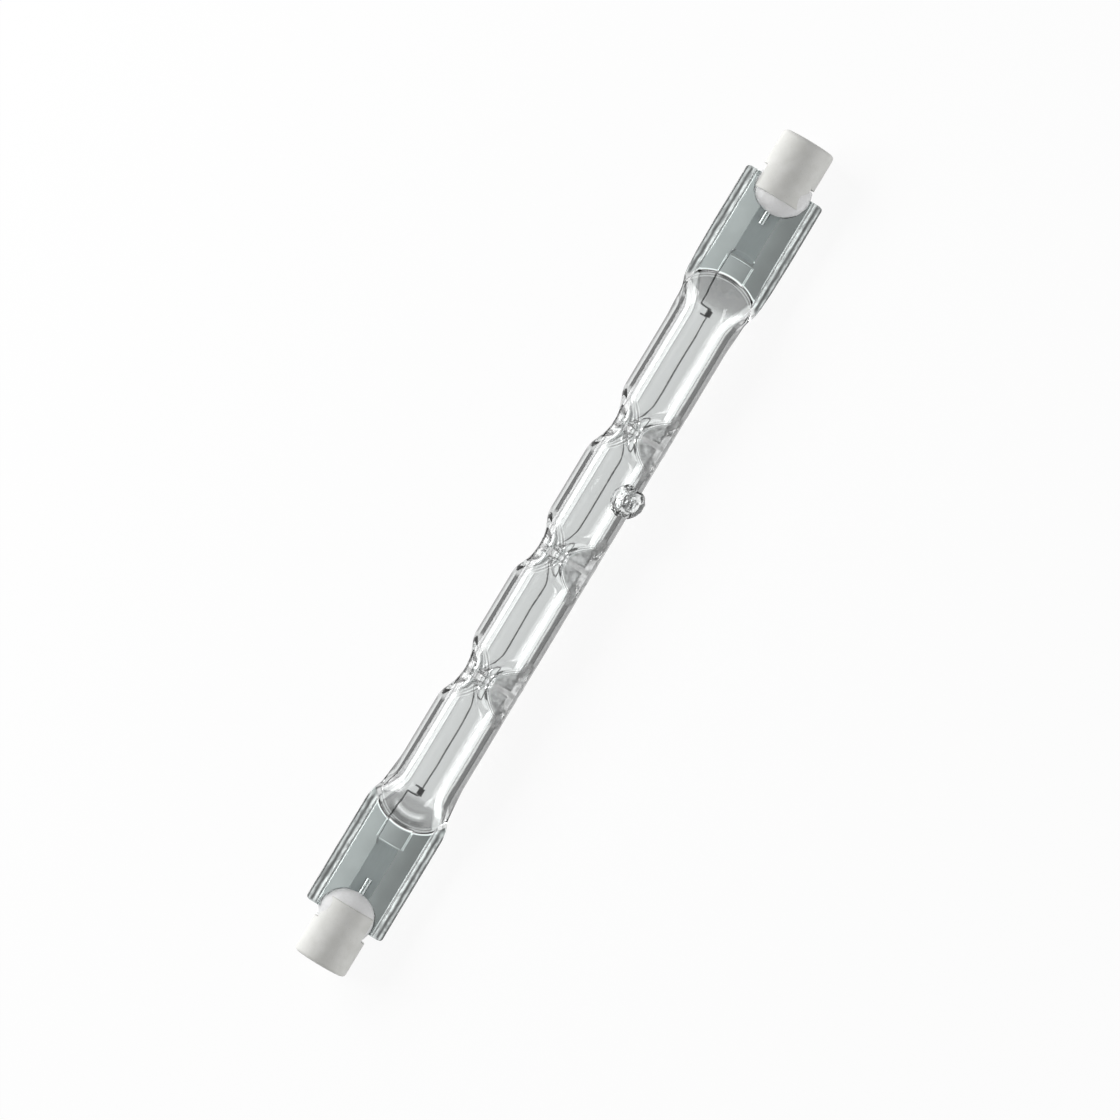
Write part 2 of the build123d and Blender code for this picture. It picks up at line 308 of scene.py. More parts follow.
def inner_skin():
    around = np.linspace(0, 2 * pi, 96, endpoint=False)[None, :]
    outward = {}
    for side, end in ENDS.items():
        tip = STRAIGHT_END + end["reach"] - CAVITY_SETBACK
        outward[side] = ring_places((CAVITY_START, tip - 0.5, 0.2), (tip - 0.5, tip - 0.012, 0.07))
    tube = tube_places(CAVITY_START, plain=0.9, fine=0.18)
    x = np.concatenate([-outward[-1][::-1], tube[1:-1], outward[1]])[:, None]
    r = dimpled_radius(x, around, BORE_R, apex=0.28, tip=1.3, blend=0.6)
    y = r * np.cos(around)
    z = r * np.sin(around)
    for side, end in ENDS.items():
        reach = end["reach"] - CAVITY_SETBACK
        s = side * x
        past = np.maximum(s - STRAIGHT_END, 0)
        chord = np.sqrt(np.maximum(reach ** 2 - past ** 2, 1e-6)) / ARCH_FLATNESS
        wide = BORE_R + CAVITY_WIDENING * ramp(s, 32.5, 37.5)
        wide = soft_min(wide, np.where(s < STRAIGHT_END - 1, 99, chord), 0.3)
        wide = np.maximum(np.minimum(wide, chord), 0.02)
        new_y = wide * np.cos(around)
        round_z = np.abs(BORE_R * np.sin(around) + 0 * x)
        spread = np.sqrt(past ** 2 + (ARCH_FLATNESS * new_y) ** 2)
        cone_z = np.maximum((reach - spread) * SHOULDER_SLOPE + np.maximum(STRAIGHT_END - s, 0), 0) + 0.02
        low_z = np.maximum(soft_min(round_z, cone_z, 0.5), 0)
        low_z = np.where(cone_z > round_z + 0.5, round_z, np.minimum(low_z, round_z))
        here = s > CAVITY_START - 0.5
        y = np.where(here, new_y, y)
        z = np.where(here, np.sign(np.sin(around)) * low_z, z)
    rings = np.stack([x + 0 * y, y, z], axis=-1)
    rings[..., 1:] *= (1 + INNER_WAVE * ripple(rings, 0.3, 5.9))[..., None]
    return grid_tube("quartz gas space", rings)


# The lump's half width at each level, from its foot to its crown, and its place round the tube
LUMP_LEVELS = (0, 0.12, 0.3, 0.5, 0.72, 0.9, 1)
LUMP_WIDTHS = (2.0, 2.15, 1.95, 1.85, 1.75, 1.3, 0)
LUMP_SUNK, LUMP_RISE = 0.45, 2.35
HOLLOW_SUNK, HOLLOW_RISE = 0.4, 1.85
LUMP_WALL = 0.6
LUMP_TURN = radians(45)


def exhaust_lump(foot, crown, shrink):
    """The melted stub, with a skin that froze in folds, or its hollow when it is shrunk."""
    deselect()
    bpy.ops.mesh.primitive_uv_sphere_add(segments=56, ring_count=40, radius=1)
    lump = bpy.context.object
    for vertex in lump.data.vertices:
        p = vertex.co
        t = 0.5 + 0.5 * max(-1, min(1, p.z))
        level = t if t < 0.9 else 0.9 + 0.1 * sin((t - 0.9) / 0.1 * pi / 2)
        width = max(0, float(np.interp(level, LUMP_LEVELS, LUMP_WIDTHS)) - shrink)
        if t < 0.08:
            width *= sqrt(t / 0.08)
        across = Vector((p.x, p.y, 0))
        flat = across.normalized() * width if across.length > 1e-6 else across
        q = Vector((flat.x, flat.y, foot + (crown - foot) * level))
        fold = noise.turbulence(q * 1.05 + Vector((4, 1, 9)), 3, False)
        knob = noise.noise(q * 0.9 + Vector((2, 7, 5)))
        rise = min(1, max(0, (level - 0.12) / 0.25))
        q += (flat * 0.5 + Vector((0, 0, 0.25))) * (0.24 * fold + 0.2 * knob) * rise
        vertex.co = q
    lump.data.transform(Matrix.Translation((EXHAUST_STATION, 0, 0)) @ Matrix.Rotation(LUMP_TURN, 4, "X"))
    return lump


quartz = outer_skin()
boolean(quartz, exhaust_lump(TUBE_R - LUMP_SUNK, TUBE_R + LUMP_RISE, 0), "UNION")
gas_space = inner_skin()
boolean(gas_space, exhaust_lump(BORE_R - HOLLOW_SUNK, TUBE_R + HOLLOW_RISE, LUMP_WALL), "UNION")
only(gas_space)
bpy.ops.object.mode_set(mode="EDIT")
bpy.ops.mesh.select_all(action="SELECT")
bpy.ops.mesh.flip_normals()
bpy.ops.object.mode_set(mode="OBJECT")
only(quartz)
gas_space.select_set(True)
bpy.ops.object.join()


class Link:
    """A shader socket that can be used in ordinary arithmetic."""

    def __init__(self, maker, socket):
        self.maker = maker
        self.socket = socket

    def _math(self, operation, a, b=None):
        values = {0: a} if b is None else {0: a, 1: b}
        return self.maker.node("ShaderNodeMath", {"operation": operation}, values)

    def __add__(self, other):
        return self._math("ADD", self, other)

    def __radd__(self, other):
        return self._math("ADD", other, self)

    def __sub__(self, other):
        return self._math("SUBTRACT", self, other)

    def __rsub__(self, other):
        return self._math("SUBTRACT", other, self)

    def __mul__(self, other):
        return self._math("MULTIPLY", self, other)

    def __rmul__(self, other):
        return self._math("MULTIPLY", other, self)

    def __truediv__(self, other):
        return self._math("DIVIDE", self, other)

    def __pow__(self, other):
        return self._math("POWER", self, other)

    def __abs__(self):
        return self._math("ABSOLUTE", self)

    def max(self, other):
        return self._math("MAXIMUM", self, other)

    def min(self, other):
        return self._math("MINIMUM", self, other)

    def ramp(self, low, high, to_low=0.0, to_high=1.0):
        settings = {"interpolation_type": "SMOOTHSTEP"}
        values = {"Value": self, "From Min": low, "From Max": high, "To Min": to_low, "To Max": to_high}
        return self.maker.node("ShaderNodeMapRange", settings, values)


class Nodes:
    """A node tree, with the one way that nodes are added to it."""

    def __init__(self, tree):
        self.tree = tree

    def node(self, kind, settings, values, output=0):
        made = self.tree.nodes.new(kind)
        for key, value in settings.items():
            if key == "stops":
                self._stops(made.color_ramp, value)
            else:
                setattr(made, key, value)
        for key, value in values.items():
            if isinstance(value, Link):
                self.tree.links.new(value.socket, made.inputs[key])
            else:
                made.inputs[key].default_value = value
        return made if output is None else Link(self, made.outputs[output])

    def _stops(self, color_ramp, stops):
        while len(color_ramp.elements) < len(stops):
            color_ramp.elements.new(1.0)
        for element, (position, colour) in zip(color_ramp.elements, stops):
            element.position = position
            element.color = (*colour, 1)

    def mix(self, factor, a, b):
        values = {0: factor}
        for key, value in ((6, a), (7, b)):
            values[key] = value if isinstance(value, Link) else (*value, 1)
        return self.node("ShaderNodeMix", {"data_type": "RGBA"}, values, 2)

    def looked_at(self):
        """1 for what is seen straight, in a mirror or through glass, and 0 for what only gives light."""
        ray = self.node("ShaderNodeLightPath", {}, {}, None)
        camera_ray, glossy_ray, through_ray = (
            Link(self, ray.outputs["Is " + kind + " Ray"]) for kind in ("Camera", "Glossy", "Transmission"))
        return camera_ray.max(glossy_ray).max(through_ray)


class Finish(Nodes):
    """A material with the lamp's own millimetres: x along it, y across its seals, z through them."""

    def __init__(self, name, **fixed):
        self.material = bpy.data.materials.new(name)
        self.material.use_nodes = True
        super().__init__(self.material.node_tree)
        self.shader = self.tree.nodes["Principled BSDF"]
        for key, value in fixed.items():
            self.shader.inputs[key.replace("_", " ")].default_value = value
        coordinates = self.node("ShaderNodeTexCoord", {}, {}, "Object")
        self.place = self.node("ShaderNodeMapping", {"vector_type": "TEXTURE"}, {
            "Vector": coordinates, "Location": AXIS, "Rotation": (ROLL, 0, 0),
            "Scale": (0.001, 0.001, 0.001)})
        parts = self.node("ShaderNodeSeparateXYZ", {}, {0: self.place}, None)
        self.x, self.y, self.z = (Link(self, parts.outputs[i]) for i in range(3))

    def noise(self, scale, detail=2.0, vector=None):
        values = {"Vector": self.place if vector is None else vector, "Scale": scale, "Detail": detail}
        return self.node("ShaderNodeTexNoise", {}, values)

    def stretched(self, scale):
        return self.node("ShaderNodeVectorMath", {"operation": "MULTIPLY"}, {0: self.place, 1: scale})

    def profile(self, value, low, high, stops):
        """A ramp of greys over a range, from (value, grey) stops."""
        places = [((at - low) / (high - low), (grey, grey, grey)) for at, grey in stops]
        return self.node("ShaderNodeValToRGB", {"stops": places}, {0: (value - low) / (high - low)})

    def bump(self, height, distance):
        return self.node("ShaderNodeBump", {}, {"Height": height, "Distance": distance * 0.001})

    def feed(self, **sockets):
        for key, link in sockets.items():
            self.tree.links.new(link.socket, self.shader.inputs[key.replace("_", " ")])

    def put_on(self, *objs):
        for obj in objs:
            obj.data.materials.clear()
            obj.data.materials.append(self.material)


def line(value, centre, half):
    """1 on a thin line where the value is near the centre, 0 away from it."""
    return abs(value - centre).ramp(half * 1.5, half * 0.6)


def laid_over(base, top, cover):
    return base + (top - base) * cover


glass = Finish("fused quartz", Transmission_Weight=1.0, IOR=1.458, Roughness=0.0)
end_x = abs(glass.x)
side_y = abs(glass.y)
radius = (glass.y * glass.y + glass.z * glass.z) ** 0.5


def by_end(at_a, at_b):
    """A value that differs between the lamp's ends."""
    return glass.x.ramp(-1.0, 1.0, at_a, at_b)


# Distances out from each end's arch, from the end of its pad and from the start of its pin
run = (end_x - STRAIGHT_END).max(0.0)
spread = (run * run + glass.y * glass.y * ARCH_FLATNESS ** 2) ** 0.5
past_arch = spread - by_end(ENDS[-1]["reach"], ENDS[1]["reach"])
past_pad = end_x - by_end(ENDS[-1]["pad"], ENDS[1]["pad"])
past_pin = end_x - by_end(ENDS[-1]["pin"], ENDS[1]["pin"])
at_end = end_x.ramp(35.6, 36.6)

# Painted light and shade in bands along the tube: grey in the middle, highlights beside, dark edges
band_wobble = glass.noise(1.0, 2.0, glass.stretched((0.05, 2.4, 2.4)))
flared = glass.y / end_x.ramp(33.0, 39.5, 1.0, 2.0) + (band_wobble - 0.5) * 0.12
painted_bands = glass.profile(flared, -5, 5, (
    (-5, 0.03), (-4.25, 0.03), (-4.1, 0.1), (-3.85, 0.18), (-3.74, 0.03), (-3.64, 0.6), (-3.12, 0.75),
    (-2.98, 0.6), (-2.9, 0.12), (-2.8, 0.97), (-1.98, 0.94), (-1.9, 0.3), (-1.8, 0.46), (0, 0.45),
    (1.75, 0.46), (1.83, 0.15), (1.92, 0.85), (2.25, 0.8), (2.36, 0.35), (2.5, 0.6), (2.9, 0.65),
    (3.0, 0.06), (3.1, 0.06), (3.18, 0.5), (3.64, 0.5), (3.74, 0.04), (3.85, 0.7), (4.05, 0.45),
    (4.2, 0.04), (5, 0.02)))
front_skin = radius.ramp(3.6, 3.85).max(end_x.ramp(34.5, 35.5)) * glass.z.ramp(-0.5, -0.1)
# Painted shade: the glass greys towards the seals
clear = end_x.ramp(34.8, 37.6, 0.97, 0.86)
tone = clear * (1 - front_skin * (1 - painted_bands))

# Each dimple's rim is a rounded fold: painted highlight lines with painted dark lines beside them.
# Inside it is frosted, and greyed in patches by painted shade
mottled_shade = glass.noise(1.3, 3.0).ramp(0.35, 0.65, 0.2, 0.62)
frost = 0.0
plain_tube = 1.0
for centre in STATIONS:
    away = abs(glass.x - centre)
    plain_tube = away.ramp(4.2, 4.9).min(plain_tube)
    near = away.ramp(DIMPLE_SPAN, 3.9) * glass.z.ramp(-0.2, 0.3)
    rim = (away * away * 0.25 + 0.1).min(2.75) + glass.y
    inside = rim.ramp(-0.5, -0.65) * glass.y.ramp(-4.0, -3.85) * near
    tone = laid_over(tone, mottled_shade * away.ramp(0.15, 0.45, 0.3, 1.0), inside * 0.88)
    frost = inside.max(frost)
    side_rim = glass.y - (away * away * 0.17 + 0.5).min(2.35)
    shaded = side_rim.ramp(-0.6, -0.4) * side_rim.ramp(0.95, 0.7) * away.ramp(3.8, 3.0)
    painted_groove_shade = line(rim, -0.2, 0.4) * away.ramp(3.6, 3.2)
    tone = laid_over(tone, 0.42, shaded.max(painted_groove_shade) * near)
    # Painted highlights on the folds of the rim
    fold = line(rim, 0.0, 0.1).max(line(rim, -0.38, 0.09) * away.ramp(3.2, 2.8))
    side_fold_highlight = line(side_rim, 0.0, 0.1).max(line(side_rim, 0.45, 0.1))
    side_fold_highlight = side_fold_highlight.max(line(side_rim, -0.4, 0.06) * 0.8)
    tone = laid_over(tone, 1, fold.max(side_fold_highlight * away.ramp(4.0, 3.2)) * near)
# Painted shade along the tube's edges beside each station
tone = laid_over(tone, 0.6, (1 - plain_tube) * glass.y.ramp(3.3, 3.6))
tone = laid_over(tone, 0.14, (1 - plain_tube) * glass.y.ramp(-3.85, -4.0))

# The pressed web is greyed by painted shade, darker towards -y and behind end b's pad. Its front face,
# halfway and back face share the shade out between them
FRONT_SHARE = 0.8
only_a = by_end(1.0, 0.0)
only_b = by_end(0.0, 1.0)
behind_pad_shade = past_pad.ramp(0.05, 0.15) * past_pad.ramp(1.05, 0.9) * side_y.ramp(1.75, 1.6) * only_b
painted_web_shade = glass.y.ramp(-4.0, 4.0, 0.185, 0.44) + (glass.noise(0.35) - 0.5) * 0.1
painted_web_shade = painted_web_shade * (1 - 0.35 * behind_pad_shade)
painted_web_shade = laid_over(painted_web_shade, painted_web_shade * painted_web_shade / FRONT_SHARE, glass.z.ramp(0.2, -0.2))
painted_web_shade = laid_over(painted_web_shade, FRONT_SHARE, glass.z.ramp(-0.2, 0.2))
on_web = past_arch.ramp(-0.02, 0.08) * end_x.ramp(34.6, 36.5)

# Painted glints along both flanks of the pin under the web, with painted shade between and beside them
pin_y = abs(glass.y - by_end(-CAP_OFFSET, CAP_OFFSET))
pin_glints = glass.profile(pin_y, 0, 0.5, (
    (0, 0.15), (0.08, 0.2), (0.14, 1), (0.24, 1), (0.3, 0.12), (0.5, 0.12)))
on_pin = pin_y.ramp(0.42, 0.38) * past_pin.ramp(0.0, 0.1) * glass.z.ramp(0.2, 0.4)
tone = laid_over(tone, laid_over(painted_web_shade, pin_glints, on_pin), on_web)

# Painted shade: dark just inside each arch, grey on end a's cone, with a painted highlight further in
arch_shade = past_arch.ramp(-0.56, -0.44) * past_arch.ramp(-0.1, -0.2) * side_y.ramp(1.7, 0.7) * at_end
cone_shade = past_arch.ramp(-1.75, -1.55) * past_arch.ramp(-0.8, -0.9) * side_y.ramp(2.8, 1.8) * only_a
tone = tone * (1 - 0.85 * arch_shade) * (1 - 0.18 * cone_shade)
cone_highlight = line(past_arch, -2.1, 0.3) * side_y.ramp(2.3, 1.3) * only_a * at_end
tone = laid_over(tone, 1, cone_highlight * 0.8)

# Painted highlights: the pad's sides and end, the swelling behind end b's pad, and the arches' double line
pad_sides = line(side_y, PAD_HALF, 0.11) * past_arch.ramp(-0.2, 0.0) * past_pad.ramp(0.1, 0.0)
pad_end = line(past_pad + 0.03 * glass.y * glass.y, 0.05, 0.09) * side_y.ramp(PAD_HALF + PAD_EDGE, PAD_HALF)
swelling = line(past_pad + 0.12 * glass.y * glass.y, 1.15, 0.08) * side_y.ramp(1.65, 1.55) * only_b
arches = line(past_arch, 0.0, 0.16).max(line(past_arch + 0.03 * glass.y, -0.66, 0.09))
arches = arches * side_y.ramp(4.3, 4.1)
bright = (pad_sides.max(pad_end).max(swelling) * end_x.ramp(38.0, 38.4)).max(arches * at_end)

# Ribs: painted highlights on the crests, painted dark lines beside them, painted shade on flanks and ends
rib_light_and_shade = glass.profile(side_y, 4, 5.5, (
    (4, 0.3), (4.08, 0.06), (4.2, 0.97), (4.46, 0.97), (4.58, 0.3), (4.72, 0.12), (4.85, 0.3), (5.0, 0.75),
    (5.1, 0.7), (5.22, 0.04), (5.5, 0.01)))
chips = glass.noise(1.0, 3.0, glass.stretched((0.8, 3.5, 2.0)))
flank = side_y.ramp(5.3, 5.38) * abs(glass.z).ramp(1.75, 1.55)
rib_end = end_x.ramp(SEAL_END - 0.15, SEAL_END - 0.05)
rib_light_and_shade = laid_over(rib_light_and_shade * chips.ramp(0.4, 0.54, 0.5, 1.0), 0.62, flank.max(rib_end))
on_rib = side_y.ramp(3.98, 4.06) * end_x.ramp(37.1, 37.9)
tone = laid_over(laid_over(tone, rib_light_and_shade, on_rib), 1, bright)

# The exhaust lump is clear, with darker specks at random
on_lump = radius.ramp(4.5, 4.7) * line(glass.x, EXHAUST_STATION, 1.9)
specks = glass.noise(1.7, 3.0).ramp(0.54, 0.62)
tone = laid_over(tone, 1 - 0.5 * specks, on_lump)
ripples = glass.noise(1.0, 2.0, glass.stretched((0.25, 1.1, 1.1)))
tint = glass.mix(on_web * (1 - 0.5 * on_rib), (0.985, 1.0, 0.997), (0.9, 1.0, 0.985))
glass.feed(Base_Color=glass.mix(tone, (0.0, 0.0, 0.0), tint), Roughness=frost * 0.3,
           Normal=glass.bump(ripples, 0.01))
glass.put_on(quartz)
lay_to_rest(quartz, "quartz_tube", ["quartz_envelope"], 50)

# Filament
# One long wound tungsten coil that runs down the tube's axis, held by the dimples' tips. Its ends
# are wound on with a few turns of thicker wire over each lead's hook.
COIL_END = 34.0
COIL_R = 0.085
COIL_PITCH = 0.17
COIL_WIRE = 0.045
COIL_STRAY = 0.18
SLEEVE_START = COIL_END - 0.1
SLEEVE_LENGTH = 0.84
SLEEVE_R = 0.3
SLEEVE_PITCH = 0.21
SLEEVE_WIRE = 0.1


def wound(start, length, coil_radius, wire_radius, pitch, steps, sides):
    """A round wire section screwed along X."""
    deselect()
    bpy.ops.mesh.primitive_circle_add(vertices=sides, radius=wire_radius, location=(start, coil_radius, 0))
    coil = bpy.context.object
    bpy.ops.object.transform_apply(location=True, rotation=True, scale=True)
    screw = coil.modifiers.new("turns", "SCREW")
    screw.axis = "X"
    screw.screw_offset = pitch
    screw.iterations = round(length / pitch)
    screw.steps = steps
    screw.render_steps = steps
    screw.use_merge_vertices = False
    apply_modifiers(coil)
    only(coil)
    bpy.ops.object.mode_set(mode="EDIT")
    bpy.ops.mesh.select_all(action="DESELECT")
    bpy.ops.mesh.select_non_manifold()
    bpy.ops.mesh.edge_face_add()
    bpy.ops.mesh.select_all(action="SELECT")
    bpy.ops.mesh.normals_make_consistent(inside=False)
    bpy.ops.object.mode_set(mode="OBJECT")
    return coil


coil = wound(-COIL_END, 2 * COIL_END, COIL_R, COIL_WIRE, COIL_PITCH, steps=10, sides=6)
for vertex in coil.data.vertices:
    x = vertex.co.x
    free = min(1, min(abs(x - centre) for centre in STATIONS) / 4) * min(1, (COIL_END - abs(x)) / 3)
    vertex.co.y += COIL_STRAY * free * noise.noise(Vector((x * 0.23, 1.5, 0)))
    vertex.co.z += COIL_STRAY * free * noise.noise(Vector((x * 0.23, 7.5, 3)))
sleeves = []
for side in ENDS:
    sleeve = wound(SLEEVE_START, SLEEVE_LENGTH, SLEEVE_R, SLEEVE_WIRE, SLEEVE_PITCH, steps=20, sides=10)
    if side < 0:
        sleeve.data.transform(Matrix.Rotation(pi, 4, "Z"))
    sleeves.append(sleeve)
only(coil)
for sleeve in sleeves:
    sleeve.select_set(True)
bpy.ops.object.join()
tungsten = Finish("drawn tungsten", Metallic=1.0, Roughness=0.4)
shade = tungsten.noise(2.0, 3.0)
tungsten.feed(Base_Color=tungsten.mix(shade, (0.05, 0.05, 0.052), (0.16, 0.155, 0.15)),
              Roughness=shade.ramp(0.3, 0.7, 0.3, 0.5))
tungsten.put_on(coil)
lay_to_rest(coil, "tungsten_coil", ["filament"])

# Leads and foils
# Molybdenum all through: a hooked wire inside the tube, a foil a few hundredths thick that lets
# the quartz seal on to it, and a stout pin from the foil out to the cap.
molybdenum = Finish("molybdenum", Metallic=1.0, Roughness=0.35)
drawn = molybdenum.noise(3.0, 3.0, molybdenum.stretched((0.3, 2.0, 2.0)))
molybdenum.feed(Base_Color=molybdenum.mix(drawn, (0.14, 0.14, 0.142), (0.34, 0.34, 0.345)),
                Roughness=drawn.ramp(0.3, 0.7, 0.28, 0.45))
bright_pin = Finish("bright molybdenum", Metallic=1.0, Roughness=0.25)
scale_marks = bright_pin.noise(3.0, 3.0)
bright_pin.feed(Base_Color=bright_pin.mix(scale_marks, (0.6, 0.6, 0.6), (0.8, 0.8, 0.8)))
foil_metal = Finish("molybdenum foil", Metallic=0.2, Roughness=0.5)
grain = foil_metal.noise(2.2, 4.0, foil_metal.stretched((0.35, 2.2, 1.0)))
foil_metal.feed(Base_Color=foil_metal.mix(grain, (0.34, 0.355, 0.36), (0.45, 0.465, 0.47)))


def wire(points, diameter):
    """A round wire along points, its corners eased."""
    curve = bpy.data.curves.new("wire", "CURVE")
    curve.dimensions = "3D"
    curve.bevel_depth = diameter / 2
    curve.bevel_resolution = 3
    curve.use_fill_caps = True
    curve.resolution_u = 6
    spline = curve.splines.new("NURBS")
    spline.points.add(len(points) - 1)
    for point, place in zip(spline.points, points):
        point.co = (*place, 1)
    spline.order_u = 3
    spline.use_endpoint_u = True
    obj = bpy.data.objects.new("wire", curve)
    bpy.context.scene.collection.objects.link(obj)
    only(obj)
    bpy.ops.object.convert(target="MESH")
    return bpy.context.object


def eased(corners, ease):
    """The corners of a route, each with a point a little before and after it."""
    route = [corners[0]]
    for before, corner, after in zip(corners, corners[1:], corners[2:]):
        corner = Vector(corner)
        back = Vector(before) - corner
        onward = Vector(after) - corner
        route.append(corner + back * min(0.45, ease / back.length))
        route.append(corner)
        route.append(corner + onward * min(0.45, ease / onward.length))
    return route + [corners[-1]]


def mirrored(obj, side):
    if side < 0:
        obj.data.transform(Matrix.Scale(-1, 4, (1, 0, 0)))
        obj.data.flip_normals()
    return obj


LEAD_WIRE = 0.22
HOOK_X = 34.89
HOOK_END = 33.86
HOOK_EASE = 0.28
PIN_WIRE = 0.75
PIN_END = 56.3
PIN_RISE = 0.235
FOIL_END = 50.6
FOIL_HALF = 1.45
FOIL_LEVEL = -0.165
FOIL_THICKNESS = 0.05
FOIL_CREASE = 0.012
for side, end in ENDS.items():
    foil = end["foil"]
    hook = [(foil + 0.6, 1.3, -0.05), (foil, 1.6, 0), (foil - 2.6, 1.68, 0), (HOOK_X, 1.32, 0),
            (HOOK_X, 0, 0), (HOOK_END, 0, 0), (HOOK_END, 0.95, 0)]
    lead = mirrored(wire(eased(hook, HOOK_EASE), LEAD_WIRE), side)
    molybdenum.put_on(lead)
    lay_to_rest(lead, "inner_lead_hook_" + end["name"], ["inner_lead_" + end["name"]])
    straight = [(x, side * CAP_OFFSET, PIN_RISE) for x in (end["pin"], 49, 53, PIN_END)]
    pin = mirrored(wire(straight, PIN_WIRE), side)
    bright_pin.put_on(pin)
    lay_to_rest(pin, "outer_lead_pin_" + end["name"], ["outer_lead_" + end["name"]], 40)
    deselect()
    bpy.ops.mesh.primitive_grid_add(x_subdivisions=60, y_subdivisions=20, size=2)
    strip = bpy.context.object
    for vertex in strip.data.vertices:
        x = foil + (FOIL_END - foil) * (vertex.co.x + 1) / 2
        y = FOIL_HALF * vertex.co.y
        crease = FOIL_CREASE * noise.noise(Vector((x * 0.9, y * 1.3, side * 4.0)))
        vertex.co = (side * x, y, FOIL_LEVEL + crease)
    thick = strip.modifiers.new("thickness", "SOLIDIFY")
    thick.thickness = FOIL_THICKNESS
    thick.offset = 0
    apply_modifiers(strip)
    foil_metal.put_on(strip)
    lay_to_rest(strip, "seal_strip_" + end["name"], ["seal_foil_" + end["name"]], 40)

# Ceramic caps
# Pressed and fired steatite: a plain barrel with rounded rims, a slot across its inner end that
# straddles the pressed seal, and a recess in its outer end for the contact.
CAP_R = 3.55
CAP_IN, CAP_OUT = 50.7, 58.8
SLOT_END, SLOT_HALF = 53.9, 1.75
RECESS_R, RECESS_FLOOR = 2.2, 57.1
POCKET_R, POCKET_FLOOR = 2.04, 56.3
steatite = Finish("fired steatite", Roughness=0.62, Specular_IOR_Level=0.4)
mottle = steatite.noise(0.5, 4.0)
specks = steatite.noise(4.5, 2.0).ramp(0.66, 0.74)
body_colour = steatite.mix(mottle.ramp(0.35, 0.65), (0.72, 0.72, 0.69), (0.79, 0.79, 0.765))
steatite.feed(Base_Color=steatite.mix(specks * 0.35, body_colour, (0.55, 0.52, 0.46)),
              Roughness=mottle.ramp(0.3, 0.7, 0.55, 0.72),
              Normal=steatite.bump(steatite.noise(7.0, 4.0), 0.02))


def turned(profile, steps):
    """A solid of revolution round X, from its profile of (x, radius)."""
    mesh = bpy.data.meshes.new("turned")
    mesh.from_pydata([(x, r, 0) for x, r in profile], [(i, i + 1) for i in range(len(profile) - 1)], [])
    obj = bpy.data.objects.new("turned", mesh)
    bpy.context.scene.collection.objects.link(obj)
    only(obj)
    bpy.ops.object.mode_set(mode="EDIT")
    bpy.ops.mesh.select_all(action="SELECT")
    bpy.ops.mesh.spin(steps=steps, angle=2 * pi, center=(0, 0, 0), axis=(1, 0, 0))
    bpy.ops.mesh.select_all(action="SELECT")
    bpy.ops.mesh.remove_doubles(threshold=0.0005)
    bpy.ops.mesh.normals_make_consistent(inside=False)
    bpy.ops.object.mode_set(mode="OBJECT")
    return obj


ROUNDING_STEPS = 6


def rounded(profile, radii):
    """A profile whose corners are rounded by the given radii."""
    out = [profile[0]]
    for before, corner, after, radius in zip(profile, profile[1:], profile[2:], radii):
        a, c, b = (Vector(p) for p in (before, corner, after))
        start = c + (a - c).normalized() * radius
        stop = c + (b - c).normalized() * radius
        for i in range(ROUNDING_STEPS + 1):
            t = i / ROUNDING_STEPS
            out.append(tuple(start * (1 - t) ** 2 + c * 2 * t * (1 - t) + stop * t * t))
    return out + [profile[-1]]


def box_between(low, high):
    deselect()
    bpy.ops.mesh.primitive_cube_add(size=1)
    cube = bpy.context.object
    middle = [(a + b) / 2 for a, b in zip(low, high)]
    sides = [b - a for a, b in zip(low, high)]
    cube.data.transform(Matrix.Translation(middle) @ Matrix.Diagonal(sides + [1]))
    return cube


for side, end in ENDS.items():
    section = [(CAP_IN, 0.0), (CAP_IN, CAP_R), (CAP_OUT, CAP_R), (CAP_OUT, RECESS_R),
               (RECESS_FLOOR, RECESS_R), (RECESS_FLOOR, POCKET_R), (POCKET_FLOOR, POCKET_R),
               (POCKET_FLOOR, 0.0)]
    barrel = turned(rounded(section, (0.25, 0.55, 0.2, 0.12, 0.02, 0.02)), 96)
    boolean(barrel, box_between((CAP_IN - 1, -5, -SLOT_HALF), (SLOT_END, 5, SLOT_HALF)), "DIFFERENCE")
    edges = barrel.modifiers.new("worn edges", "BEVEL")
    edges.width = 0.09
    edges.segments = 2
    edges.limit_method = "ANGLE"
    edges.angle_limit = radians(55)
    apply_modifiers(barrel)
    mirrored(barrel, side)
    barrel.data.transform(Matrix.Translation((0, side * CAP_OFFSET, 0)))
    steatite.put_on(barrel)
    lay_to_rest(barrel, "steatite_cap_" + end["name"], ["ceramic_cap_" + end["name"]], 35)

